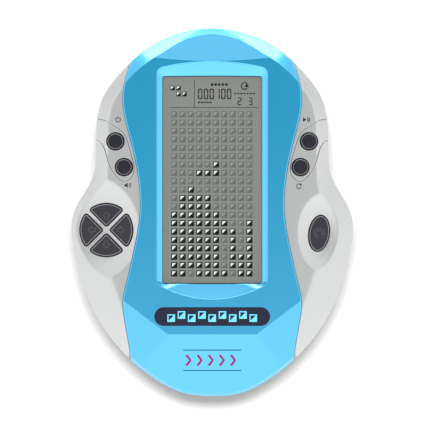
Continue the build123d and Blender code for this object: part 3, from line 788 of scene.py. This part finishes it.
def fascia():
    """Blue strip with its facets, rim bevel and sloping screen bezel."""
    shape = Shape()
    rim = bezel_loop(2.2, 3.3, 3.0, 6.8, 2.6)

    def keep(p):
        return inside(p, [CASE_LOOP]) & inside(p, [FASCIA_REGION]) & ~inside(p, [rim])

    def foot(p):
        return near_openings(p, [rim], FASCIA_FOOT, BEZEL_FOOT)

    loops = region_loops([CASE_LOOP, FASCIA_REGION, rim], keep)
    bevel = offset(CASE_LOOP, OUTLINE[:, 3])
    x = np.linspace(-33, 33, 90)
    forehead = np.column_stack((x, forehead_line(x)))
    chin = np.column_stack((np.linspace(-CHIN_X, CHIN_X, 40), np.full(40, CHIN_Y)))
    steps = np.linspace(0, 30, 40)[:, None]
    along = np.array((math.cos(CHIN_TURN), math.sin(CHIN_TURN)))
    right = np.array((CHIN_X, CHIN_Y)) + steps * along
    left = right * (-1, 1)
    sharp = [(bevel, True), (forehead, False), (chin, False), (right, False), (left, False)]
    shape.sheet(loops, fascia_height, 0.4, foot, (), sharp, 2.0)
    rings = [
        (rim, BEZEL_FOOT),
        (bezel_loop(0.45, 0.45, 0.5, 0.6, 1.4), LENS_TOP + 0.55),
        (bezel_loop(0.1, 0.1, 0.2, 0.25, 1.25), LENS_TOP + 0.35),
        (bezel_loop(0.0, 0.0, 0.2, 0.2, 1.2), LENS_TOP + 0.05),
    ]
    ids = [shape.add(np.column_stack((loop, np.full(len(loop), z)))) for loop, z in rings]
    for high, low in zip(ids, ids[1:]):
        shape.strip(high, low)
    piece = shape.build("fascia_shell")
    finish_piece(flip_outward(piece), BLUE, "case")
    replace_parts(piece, "fascia")


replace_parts(front_case(), "front_shell")
for plate_side in (-1, 1):
    key_plate(plate_side)
fascia()

# ---- CAD pieces that show as they are --------------------------------------------------------
CAD_LOOKS = {
    "rear_shell": REAR, "battery_door": REAR, "lens": LENS, "lcd_cell": LCD,
    "lcd_reflector": STEEL, "lcd_holder": BLACK, "main_board": BOARD, "chip_blob": BLACK,
    "speaker_cone": BLACK,
}
LOOKS_BY_WORD = {
    "_key": KEY, "_dome": RUBBER, "connector": RUBBER, "cell_": CELL, "lead": LEAD,
    "capacitor": BLACK,
}


def look_of(name):
    """Material of a CAD node: its own, the one for a word in its name, or steel."""
    found = [look for word, look in LOOKS_BY_WORD.items() if word in name]
    return CAD_LOOKS.get(name) or (found[0] if found else STEEL)


for name, node in nodes.items():
    node.data.materials.clear()
    node.data.materials.append(look_of(name))
    node.data.set_sharp_from_angle(angle=NODE_CREASE)
    for polygon in node.data.polygons:
        polygon.use_smooth = True


DOME_PROFILE = [         # shares of the radius and of the height, from inside to outside
    (0.45, 0.0), (0.45, 0.7), (0.0, 0.7), (0.0, 1.0), (0.66, 1.0), (0.74, 0.95), (0.78, 0.8),
    (0.84, 0.3), (0.9, 0.14), (1.0, 0.12), (1.0, 0.0),
]


def rubber_dome(name):
    """Hollow rubber dome under its key, in place of the rigid CAD one."""
    low, high = (np.array(corner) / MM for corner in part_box(f"{name}_dome"))
    centre = (low[:2] + high[:2]) / 2
    radius = (high[0] - low[0]) / 2
    rise = high[2] - low[2]
    shape = Shape()
    rings = []
    for share, lift in DOME_PROFILE:
        ring = circle(centre, max(radius * share, 0.02), 40)
        rings.append(shape.add(np.column_stack((ring, np.full(40, low[2] + rise * lift)))))
    for inner, outer in zip(rings, [*rings[1:], rings[0]]):
        shape.strip(inner, outer)
    piece = finish_piece(
        flip_outward(shape.build(f"{name}_rubber")), RUBBER, "case")
    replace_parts(piece, f"{name}_dome")
    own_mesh(piece)


for key_name in [*SECTORS, "rotate", *KEYS]:
    rubber_dome(key_name)


# ---- flat marks ------------------------------------------------------------------------------
MARK_LIFT = 0.005        # keeps a mark's foot off the surface it lies on


def marks(name, shapes, made, body, height, thickness=0.03):
    """Thin raised marks from flat outlines, all in one piece, each on the height function."""
    shape = Shape()
    for outline in shapes:
        p = np.asarray(outline, float)
        z = height(p)
        low = shape.add(np.column_stack((p, z + MARK_LIFT)))
        high = shape.add(np.column_stack((p, z + MARK_LIFT + thickness)))
        shape.strip(low, high)
        shape.faces.append(tuple(high))
    piece = make_object(name, shape.points, shape.faces, (), False)
    return finish_piece(flip_outward(piece), made, body)


def ribbon(points, width):
    """Quads along an open line."""
    p = np.asarray(points, float)
    d = np.gradient(p, axis=0)
    d /= np.linalg.norm(d, axis=1)[:, None]
    side = np.stack((-d[:, 1], d[:, 0]), 1) * width / 2
    return [
        np.array((p[i] - side[i], p[i + 1] - side[i + 1], p[i + 1] + side[i + 1], p[i] + side[i]))
        for i in range(len(p) - 1)
    ]


def closed_ribbon(loop, width):
    """Quads all along a closed line."""
    return ribbon(np.vstack((loop, loop[:1])), width)


def arc(centre, radius, start, end, count=20):
    """Points on a round arc, angles in degrees."""
    a = np.radians(np.linspace(start, end, count))
    return np.column_stack((np.cos(a), np.sin(a))) * radius + centre


def bar(x0, y0, x1, y1):
    """Rectangle outline between corners."""
    return np.array(((x0, y0), (x1, y0), (x1, y1), (x0, y1)))


def level(z):
    """Height function of a flat surface."""
    return lambda p: np.full(len(p), z)


# ---- LCD picture -----------------------------------------------------------------------------
COLUMN_PITCH = 3.76
ROW_PITCH = 3.77
FIRST_X = -17.1
FIRST_Y = 44.05
PIXEL = 2.8
PIXEL_RING = 0.46
SMALL_PIXEL = 2.1
SMALL_RING = 0.32
SMALL_PITCH = 2.7
NEXT_SHAPE = ((0, 0), (1, 0), (1, 1), (2, 1))
NEXT_AT = (-17.9, 55.9)
DIGIT_SEGMENTS = {"0": "abcdef", "1": "bc", "2": "abged", "3": "abgcd"}
# text, left and lower edge, pitch, width, height, stroke
FIGURES = [
    ("000100", -6.4, 50.9, 2.6, 2.0, 4.7, 0.5),
    ("23", 11.4, 48.2, 4.9, 1.8, 3.5, 0.45),
]
# count, left and lower edge, pitch, width, height
DASHES = [
    (5, -0.6, 57.0, 1.6, 1.1, 1.0),
    (5, -6.4, 49.1, 1.3, 0.9, 0.7),
    (7, 9.9, 53.1, 1.4, 0.9, 0.6),
]
TURN_MARK = (14.6, 56.8)
LIT_THICKNESS = 0.01
FAINT_THICKNESS = 0.006
DIAGONAL_GAP = 0.15
LIT = {
    6: (5,), 7: (3, 4, 5), 9: (2,), 10: (1, 2, 3, 4), 11: (1, 2, 3, 4), 12: (0, 1, 2, 3, 4, 5),
    13: (0, 1, 2, 3, 4, 5, 6, 9), 14: (0, 1, 2, 3, 4, 5, 6, 7, 9), 15: (0, 1, 2, 3, 4, 5, 7, 9),
    16: (0, 1, 2, 3, 4, 5, 7, 9), 17: (0, 1, 2, 3, 4, 5, 7, 8, 9),
    18: (0, 1, 2, 3, 4, 5, 7, 8, 9), 19: (0, 1, 3, 4, 5, 6, 8, 9),
}


def block_mark(x, y, size, ring):
    """Square ring whose inside is filled below its diagonal, and above it a light triangle, a
    painted highlight.
    """
    h = size / 2
    c = h - ring
    dark = [
        bar(x - h, y + c, x + h, y + h), bar(x - h, y - h, x + h, y - c),
        bar(x - h, y - c, x - c, y + c), bar(x + c, y - c, x + h, y + c),
        np.array(((x - c, y - c), (x + c, y - c), (x + c, y + c))),
    ]
    light = [np.array((
        (x - c, y - c + DIAGONAL_GAP), (x + c - DIAGONAL_GAP, y + c), (x - c, y + c)))]
    return dark, light


def digit(character, x, y, width, height, thick):
    """Seven-segment figure from its lower left corner."""
    w, h, t = width, height, thick
    places = {
        "a": bar(x + t * 0.6, y + h - t, x + w - t * 0.6, y + h),
        "g": bar(x + t * 0.6, y + h / 2 - t / 2, x + w - t * 0.6, y + h / 2 + t / 2),
        "d": bar(x + t * 0.6, y, x + w - t * 0.6, y + t),
        "f": bar(x, y + h / 2 + t * 0.3, x + t, y + h - t * 0.5),
        "b": bar(x + w - t, y + h / 2 + t * 0.3, x + w, y + h - t * 0.5),
        "e": bar(x, y + t * 0.5, x + t, y + h / 2 - t * 0.3),
        "c": bar(x + w - t, y + t * 0.5, x + w, y + h / 2 - t * 0.3),
    }
    return [places[s] for s in DIGIT_SEGMENTS[character]]


def lcd_picture():
    """The game field, the band over it with its figures and dashes, and the dark border."""
    lit, unlit, lit_highlights, unlit_highlights = [], [], [], []
    for row in range(20):
        for column in range(10):
            spot = (FIRST_X + column * COLUMN_PITCH, FIRST_Y - row * ROW_PITCH)
            # light: the cell's light upper-left triangle, a painted highlight
            dark, light = block_mark(*spot, PIXEL, PIXEL_RING)
            on = column in LIT.get(row, ())
            (lit if on else unlit).extend(dark)
            (lit_highlights if on else unlit_highlights).extend(light)
    for column, row in NEXT_SHAPE:
        spot = (NEXT_AT[0] + SMALL_PITCH * column, NEXT_AT[1] - SMALL_PITCH * row)
        dark, light = block_mark(*spot, SMALL_PIXEL, SMALL_RING)
        lit.extend(dark)
        lit_highlights.extend(light)
    lit.append(bar(-19.2, 46.98, 20.6, 47.22))
    lit.append(bar(-8.12, 47.1, -7.88, 59.5))
    for text, left, low, pitch, width, height, stroke in FIGURES:
        for i, character in enumerate(text):
            lit.extend(digit(character, left + pitch * i, low, width, height, stroke))
    for count, left, low, pitch, width, height in DASHES:
        for i in range(count):
            x = left + pitch * i
            lit.append(bar(x, low, x + width, low + height))
    lit.extend(ribbon(arc(TURN_MARK, 1.5, 40, 320), 0.45))
    lit.append(TURN_MARK + np.array(((0.0, -0.4), (2.0, -0.4), (1.0, 1.2))))
    surface = level(CELL_TOP)
    marks("lcd_lit_segments", lit, LCD_ON, "case", surface, LIT_THICKNESS)
    marks("lcd_unlit_segments", unlit, LCD_OFF, "case", surface, FAINT_THICKNESS)
    # Painted highlights: the light triangles in the cells' upper left corners.
    marks("lcd_lit_painted_highlights", lit_highlights, LCD_LIT_HIGHLIGHT, "case", surface, FAINT_THICKNESS)
    marks("lcd_unlit_painted_highlights", unlit_highlights, LCD_UNLIT_HIGHLIGHT, "case", surface, FAINT_THICKNESS)
    edge = closed_ribbon(bezel_loop(0.3, 0.3, 0.2, 0.2, 1.2), 0.7)
    marks("lcd_border", edge, LCD_ON, "case", surface, 0.05)


lcd_picture()


# ---- printed marks ---------------------------------------------------------------------------
def printed_icons():
    """Generic function symbols beside the four small keys."""
    x, y = -42.3, 41.6
    power = ribbon(arc((x, y), 1.05, 120, 420), 0.34) + [bar(x - 0.17, y + 0.2, x + 0.17, y + 1.5)]
    x, y = -38.0, 12.1
    sound = [
        np.array(((x - 1.5, y - 0.4), (x - 0.9, y - 0.4), (x, y - 1.1), (x, y + 1.1),
                  (x - 0.9, y + 0.4), (x - 1.5, y + 0.4))),
    ]
    sound += ribbon(arc((x, y), 0.8, -50, 50), 0.28) + ribbon(arc((x, y), 1.5, -50, 50), 0.28)
    x, y = 42.3, 41.6
    start = [
        np.array(((x - 1.5, y - 1.0), (x + 0.1, y), (x - 1.5, y + 1.0))),
        bar(x + 0.5, y - 1.0, x + 0.9, y + 1.0), bar(x + 1.2, y - 1.0, x + 1.6, y + 1.0),
    ]
    x, y = 39.0, 11.7
    reset = ribbon(arc((x, y), 1.05, 60, 350), 0.32)
    reset.append(np.array(((x + 0.1, y + 0.35), (x + 1.3, y + 0.35), (x + 0.8, y + 1.5))))
    icons = power + sound + start + reset
    marks("function_icons", icons, INK, "case", wing_height)


BADGE_Y = -46.8
BADGE_SQUARES = 9
CHEVRONS_Y = -66.5
CHEVRONS = 5


def badge():
    """Plain dark capsule with a row of light squares."""
    y = BADGE_Y
    half, radius = 26.0, 4.2
    right = arc((half - radius, y), radius, -90, 90, 16)
    left = arc((radius - half, y), radius, 90, 270, 16)
    capsule = np.vstack((right, left))
    marks("badge", [capsule], BADGE, "case", fascia_height, 0.05)
    squares = []
    for i in range(BADGE_SQUARES):
        x = -18.4 + 4.6 * i
        squares += block_mark(x, y + (0.7 if i % 2 else -0.7), 3.4, 0.5)[0]
    marks("badge_squares", squares, BADGE_LIGHT, "case",
          lambda p: fascia_height(p) + 0.06, 0.03)


def lower_mark():
    """Plain row of chevrons between two thin rules."""
    crimson, teal = [], []
    y = CHEVRONS_Y
    for i in range(CHEVRONS):
        x = -10.0 + 5.0 * i
        line = np.array(((x - 1.6, y - 2.4), (x + 0.2, y), (x - 1.6, y + 2.4)))
        crimson += ribbon(line, 1.1)
    for rise in (-4.6, 4.6):
        teal += ribbon(np.column_stack((np.linspace(-13, 13, 27), np.full(27, y + rise))), 0.5)
    marks("chevrons", crimson, CRIMSON, "case", fascia_height)
    marks("rules", teal, TEAL, "case", fascia_height)


DOWN = Vector((0, 0, -1))


def on_node(name):
    """Height function that follows a CAD node's upper face."""
    mesh = nodes[name].data
    tree = BVHTree.FromPolygons([v.co for v in mesh.vertices], [p.vertices for p in mesh.polygons])

    def height(p):
        hits = [tree.ray_cast(Vector((x * MM, y * MM, 1)), DOWN)[0] for x, y in p]
        return np.array([hit.z / MM if hit else LAND for hit in hits])

    return height


SYMBOL_LINE = 0.22
ARROW_HEAD = ((-1.7, 6.3), (0.0, 8.3), (1.7, 6.3))
ARROW_TAIL = ((-1.7, 6.3), (-0.7, 6.3), (-0.7, 4.9), (0.7, 4.9), (0.7, 6.3), (1.7, 6.3))
SWIRL_HEAD = ((1.0, -0.3), (2.9, -0.3), (1.95, -2.1), (1.0, -0.3))


def symbol_on_key(name, kind, quads, made=KEY_MARK, thickness=0.05):
    """Raised lines on a key's cap, moving with the key."""
    marks(f"{name}_{kind}", quads, made, f"{name}_body",
          on_node(f"{name}_key"), thickness)


def key_symbols():
    """Raised arrows on the direction keys and a turning arrow on the rotate key."""
    for name, turn in (("up", 0.0), ("left", 90.0), ("down", 180.0), ("right", 270.0)):
        c, s = math.cos(math.radians(turn)), math.sin(math.radians(turn))
        spin = np.array(((c, s), (-s, c)))
        quads = ribbon(ARROW_HEAD, SYMBOL_LINE) + ribbon(ARROW_TAIL, SYMBOL_LINE)
        symbol_on_key(name, "arrow", [q @ spin + PAD for q in quads])
    swirl = ribbon(arc((0, 0), 2.3, -20, 260, 30), SYMBOL_LINE)
    swirl += ribbon(arc((0, 0), 1.3, -20, 260, 24), SYMBOL_LINE)
    swirl += ribbon(SWIRL_HEAD, SYMBOL_LINE)
    symbol_on_key("rotate", "arrow", [q + ROTATE for q in swirl])


def key_edge_highlights():
    """Painted highlight: a light grey line round each key's cap, where its top turns over."""
    lines = {name: offset(loop, SECTOR_CAP_INSET) for name, loop in SECTORS.items()}
    lines["rotate"] = offset(OVAL, OVAL_CAP_INSET)
    lines.update({name: circle(at, SMALL_CAP_EDGE, 48) for name, at in KEYS.items()})
    for name, line in lines.items():
        # each ribbon is a painted highlight on the cap's rounded edge
        symbol_on_key(name, "edge", closed_ribbon(line, 0.25), KEY_EDGE_HIGHLIGHT, 0.03)


printed_icons()
key_symbols()
key_edge_highlights()
badge()
lower_mark()


# ---- camera, light and floor -----------------------------------------------------------------
FIELD = 191.2            # what the camera sees across, at FIELD_HEIGHT
FIELD_HEIGHT = 27.0
FRAME_SHIFT = 0.13
LENS_LENGTH = 200
SENSOR = 36


def add_camera():
    """Camera straight over the case, as in the photograph."""
    data = bpy.data.cameras.new("camera")
    data.lens = LENS_LENGTH
    data.sensor_width = SENSOR
    camera = bpy.data.objects.new("camera", data)
    distance = FIELD / SENSOR * LENS_LENGTH
    camera.location = Vector((FRAME_SHIFT, -FRAME_SHIFT, FIELD_HEIGHT + distance)) * MM
    data.clip_start, data.clip_end = 0.01, 20
    bpy.context.scene.collection.objects.link(camera)
    bpy.context.scene.camera = camera


def area(name, location, size, power):
    """Rectangular soft light that looks at the object's middle."""
    data = bpy.data.lights.new(name, "AREA")
    data.shape = "RECTANGLE"
    data.size, data.size_y = size
    data.energy = power
    light = bpy.data.objects.new(name, data)
    light.location = location
    aim = Vector((0, 0, 0.02)) - Vector(location)
    light.rotation_mode = "QUATERNION"
    light.rotation_quaternion = aim.to_track_quat("-Z", "Y")
    bpy.context.scene.collection.objects.link(light)
    return light


DARK_X = 0.44            # half widths of the dark oval overhead, as direction components
DARK_Y = 0.29
DARK_SHIFT = 0.22
SKY_RAMP = (0.05, 1.0, 0.15, 1.15)      # reach from and to, then strength from and to
SKY_LEAN = -0.4
FLOOR_REACH = 3.0        # metres
FLOOR_DROP = 0.0002
FLOOR_COLOR = (0.45, 0.45, 0.45)


def sky_light():
    """Studio surround: dark straight above, bright low down, a little brighter towards -Y."""
    world = bpy.data.worlds.new("studio")
    bpy.context.scene.world = world
    world.use_nodes = True
    tree = world.node_tree
    link = tree.links.new
    sky = tree.nodes["Background"]
    sky.inputs["Color"].default_value = (1, 1, 1, 1)
    place = tree.nodes.new("ShaderNodeTexCoord")
    direction = place.outputs["Generated"]

    def vector_math(operation, source, value=None):
        made = tree.nodes.new("ShaderNodeVectorMath")
        made.operation = operation
        link(source, made.inputs[0])
        if value:
            made.inputs[1].default_value = value
        return made

    shrunk = vector_math("MULTIPLY", direction, (1 / DARK_X, 1 / DARK_Y, 0))
    shifted = vector_math("SUBTRACT", shrunk.outputs["Vector"], (0, DARK_SHIFT, 0))
    reach = vector_math("LENGTH", shifted.outputs["Vector"])
    ramp = tree.nodes.new("ShaderNodeMapRange")
    ramp.interpolation_type = "SMOOTHSTEP"
    for socket, value in zip(("From Min", "From Max", "To Min", "To Max"), SKY_RAMP):
        ramp.inputs[socket].default_value = value
    link(reach.outputs["Value"], ramp.inputs["Value"])
    split = tree.nodes.new("ShaderNodeSeparateXYZ")
    link(direction, split.inputs["Vector"])
    lean = tree.nodes.new("ShaderNodeMath")
    lean.operation = "MULTIPLY_ADD"
    lean.inputs[1].default_value = SKY_LEAN
    lean.inputs[2].default_value = 1.0
    link(split.outputs["Y"], lean.inputs[0])
    product = tree.nodes.new("ShaderNodeMath")
    product.operation = "MULTIPLY"
    link(ramp.outputs["Result"], product.inputs[0])
    link(lean.outputs["Value"], product.inputs[1])
    link(product.outputs["Value"], sky.inputs["Strength"])


def add_floor():
    """Plain pale floor just under the case."""
    mesh = bpy.data.meshes.new("floor")
    corners = bar(-FLOOR_REACH, -FLOOR_REACH, FLOOR_REACH, FLOOR_REACH)
    mesh.from_pydata([(x, y, 0) for x, y in corners.tolist()], [], [(0, 1, 2, 3)])
    floor = bpy.data.objects.new("floor", mesh)
    floor.location.z = -FLOOR_DROP
    bpy.context.scene.collection.objects.link(floor)
    floor.data.materials.append(material("floor_paper", FLOOR_COLOR, 0.9))


def studio():
    """Surround, two soft lights and the floor."""
    sky_light()
    area("crown_box", (0.0, 1.3, 0.3), (1.8, 0.5), 9.0)
    key_light = area("key_box", (0.0, 0.26, 1.25), (0.5, 0.25), 30.0)
    key_light.visible_glossy = False     # it lights the inks and the floor without a glare
    key_light.data.cycles.use_multiple_importance_sampling = False
    add_floor()


add_camera()
studio()
scene = bpy.context.scene
scene.view_settings.view_transform = "Standard"
scene.view_settings.look = "None"
